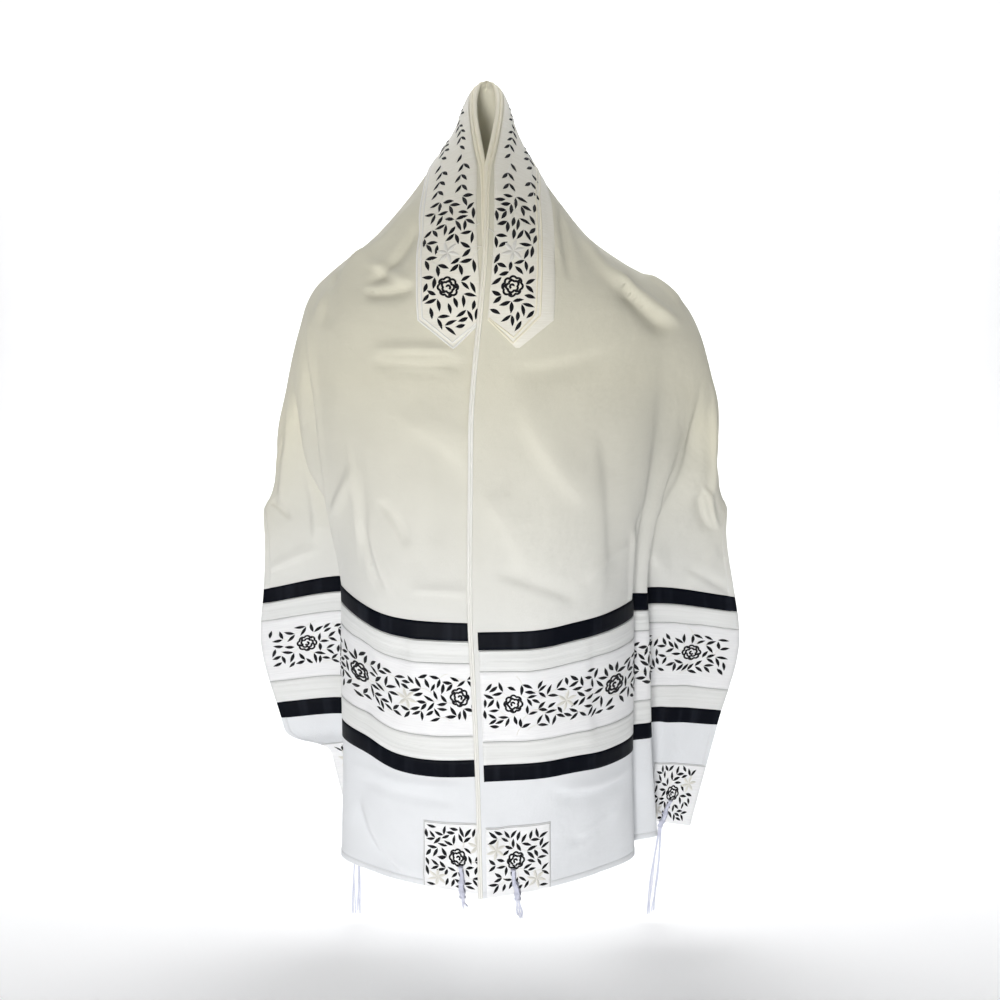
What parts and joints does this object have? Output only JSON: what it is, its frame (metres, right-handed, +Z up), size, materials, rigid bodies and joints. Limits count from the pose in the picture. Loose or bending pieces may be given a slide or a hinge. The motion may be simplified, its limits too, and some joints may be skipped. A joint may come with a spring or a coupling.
{
  "type": "tallit prayer shawl",
  "caption": "Narrow prayer shawl hanging hollow from its peak and shoulders, with collar band, satin ribbons, embroidered bands, corner patches and corner tassels.",
  "frame": {"origin": "inside the hollow at shoulder height, midway between the shoulders, where the wearer holds the shawl up", "axes": "+Z up, -Y towards the front where the two ends hang, +X towards the half whose front edge lies on top"},
  "size_m": [0.6272, 0.2501, 1.0723],
  "materials": {
    "ivory_cloth": "matte fine twill",
    "cream_binding": "soft folded edging",
    "collar_cloth": "soft satin weave",
    "black_satin": "satin ribbon",
    "ribbed_grey": "ribbed silk",
    "white_satin": "satin weave",
    "white_cord": "twisted wool cord"
  },
  "bodies": {
    "root": {"shawl_cloth": "ivory_cloth", "edge_binding": "cream_binding", "collar_band": "collar_cloth", "ribbon_upper_right": "black_satin", "ribbon_upper_left": "black_satin", "ribbon_lower_right": "black_satin", "ribbon_lower_left": "black_satin", "ribbed_stripe_upper_right": "ribbed_grey", "ribbed_stripe_upper_left": "ribbed_grey", "ribbed_stripe_lower_right": "ribbed_grey", "ribbed_stripe_lower_left": "ribbed_grey", "embroidered_band_right": "white_satin", "embroidered_band_left": "white_satin", "corner_patch_front_right": "white_satin", "corner_patch_front_left": "white_satin", "corner_patch_side_right": "white_satin", "corner_patch_side_left": "white_satin", "tassel_front_right": "white_cord", "tassel_front_left": "white_cord", "tassel_side_right": "white_cord", "tassel_side_left": "white_cord"}
  },
  "joints": []
}
